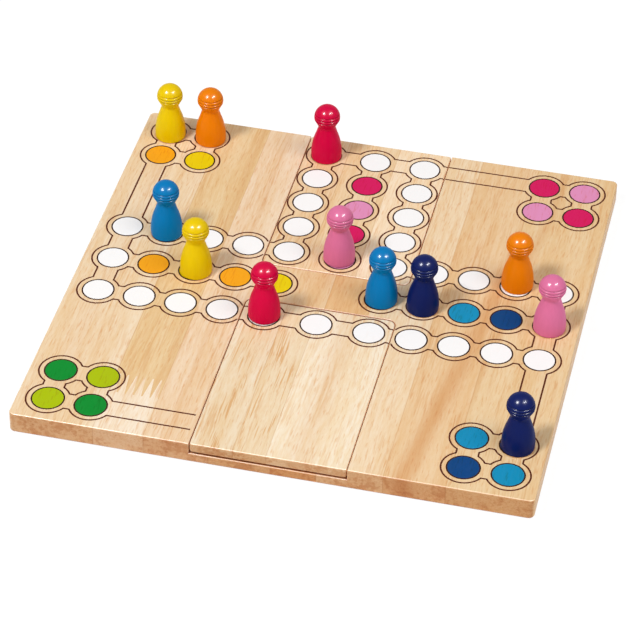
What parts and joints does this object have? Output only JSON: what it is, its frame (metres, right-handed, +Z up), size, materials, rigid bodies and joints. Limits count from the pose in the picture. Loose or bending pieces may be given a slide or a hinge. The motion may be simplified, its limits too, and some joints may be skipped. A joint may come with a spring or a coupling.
{
  "type": "ludo board game",
  "caption": "Flat square wooden ludo board with loose reversible plates lying flush in recesses at its front and back, and turned ball-headed pawns standing on the fields.",
  "frame": {"origin": "centre of the board's underside, on the surface the board lies on", "axes": "+Z up through the board, +X right along the front edge, +Y from the front edge to the back edge, along the grain"},
  "size_m": [0.2986, 0.2986, 0.0509],
  "materials": {
    "wood_straw": "fine sanded rubberwood, straw coloured, with a thin clear satin lacquer",
    "wood_cream": "fine sanded rubberwood, pale cream, with a thin clear satin lacquer",
    "wood_tan": "fine sanded rubberwood, tan heartwood, with a thin clear satin lacquer",
    "lacquer_yellow": "turned hardwood under glossy opaque yellow lacquer",
    "lacquer_orange": "turned hardwood under glossy opaque orange lacquer",
    "lacquer_crimson": "turned hardwood under glossy opaque crimson lacquer",
    "lacquer_pink": "turned hardwood under glossy opaque pink lacquer",
    "lacquer_light_blue": "turned hardwood under glossy opaque light blue lacquer",
    "lacquer_dark_blue": "turned hardwood under glossy opaque dark blue lacquer",
    "ink_line": "screen printed ink, satin dark brown outlines",
    "ink_white": "screen printed ink, opaque satin white fields",
    "ink_yellow": "screen printed ink, thin satin yellow fields",
    "ink_orange": "screen printed ink, thin satin orange fields",
    "ink_magenta": "screen printed ink, thin satin magenta fields",
    "ink_pink": "screen printed ink, thin satin pink fields",
    "ink_light_blue": "screen printed ink, thin satin light blue fields",
    "ink_dark_blue": "screen printed ink, thin satin dark blue fields",
    "ink_green": "screen printed ink, thin satin dark green fields",
    "ink_lime": "screen printed ink, thin satin lime green fields"
  },
  "bodies": {
    "board": {"board_stave_1": "wood_straw", "board_stave_2": "wood_straw", "board_stave_2_front_block": "wood_cream", "board_stave_3": "wood_straw", "board_stave_4": "wood_straw", "board_stave_5": "wood_tan", "board_stave_6": "wood_cream", "board_stave_7": "wood_straw", "board_stave_8": "wood_straw"},
    "front_plate": {"front_plate_left_stave": "wood_straw", "front_plate_middle_stave": "wood_tan", "front_plate_right_stave": "wood_cream"},
    "back_plate": {"back_plate_left_stave": "wood_straw", "back_plate_middle_stave": "wood_straw", "back_plate_right_stave": "wood_cream"},
    "pawn_yellow_1": {"pawn_yellow_1": "lacquer_yellow"},
    "pawn_yellow_2": {"pawn_yellow_2": "lacquer_yellow"},
    "pawn_orange_1": {"pawn_orange_1": "lacquer_orange"},
    "pawn_orange_2": {"pawn_orange_2": "lacquer_orange"},
    "pawn_crimson_1": {"pawn_crimson_1": "lacquer_crimson"},
    "pawn_crimson_2": {"pawn_crimson_2": "lacquer_crimson"},
    "pawn_pink_1": {"pawn_pink_1": "lacquer_pink"},
    "pawn_pink_2": {"pawn_pink_2": "lacquer_pink"},
    "pawn_light_blue_1": {"pawn_light_blue_1": "lacquer_light_blue"},
    "pawn_light_blue_2": {"pawn_light_blue_2": "lacquer_light_blue"},
    "pawn_dark_blue_1": {"pawn_dark_blue_1": "lacquer_dark_blue"},
    "pawn_dark_blue_2": {"pawn_dark_blue_2": "lacquer_dark_blue"}
  },
  "joints": [
    {"name": "front_plate_lift", "type": "slide", "parent": "board", "child": "front_plate", "axis": [0, 0, 1], "range_m": [0, 0.06]},
    {"name": "back_plate_lift", "type": "slide", "parent": "board", "child": "back_plate", "axis": [0, 0, 1], "range_m": [0, 0.06]},
    {"name": "pawn_yellow_1_lift", "type": "slide", "parent": "board", "child": "pawn_yellow_1", "axis": [0, 0, 1], "range_m": [0, 0.05]},
    {"name": "pawn_yellow_2_lift", "type": "slide", "parent": "board", "child": "pawn_yellow_2", "axis": [0, 0, 1], "range_m": [0, 0.05]},
    {"name": "pawn_orange_1_lift", "type": "slide", "parent": "board", "child": "pawn_orange_1", "axis": [0, 0, 1], "range_m": [0, 0.05]},
    {"name": "pawn_orange_2_lift", "type": "slide", "parent": "board", "child": "pawn_orange_2", "axis": [0, 0, 1], "range_m": [0, 0.05]},
    {"name": "pawn_crimson_1_lift", "type": "slide", "parent": "back_plate", "child": "pawn_crimson_1", "axis": [0, 0, 1], "range_m": [0, 0.05]},
    {"name": "pawn_crimson_2_lift", "type": "slide", "parent": "front_plate", "child": "pawn_crimson_2", "axis": [0, 0, 1], "range_m": [0, 0.05]},
    {"name": "pawn_pink_1_lift", "type": "slide", "parent": "back_plate", "child": "pawn_pink_1", "axis": [0, 0, 1], "range_m": [0, 0.05]},
    {"name": "pawn_pink_2_lift", "type": "slide", "parent": "board", "child": "pawn_pink_2", "axis": [0, 0, 1], "range_m": [0, 0.05]},
    {"name": "pawn_light_blue_1_lift", "type": "slide", "parent": "board", "child": "pawn_light_blue_1", "axis": [0, 0, 1], "range_m": [0, 0.05]},
    {"name": "pawn_light_blue_2_lift", "type": "slide", "parent": "board", "child": "pawn_light_blue_2", "axis": [0, 0, 1], "range_m": [0, 0.05]},
    {"name": "pawn_dark_blue_1_lift", "type": "slide", "parent": "board", "child": "pawn_dark_blue_1", "axis": [0, 0, 1], "range_m": [0, 0.05]},
    {"name": "pawn_dark_blue_2_lift", "type": "slide", "parent": "board", "child": "pawn_dark_blue_2", "axis": [0, 0, 1], "range_m": [0, 0.05]}
  ]
}
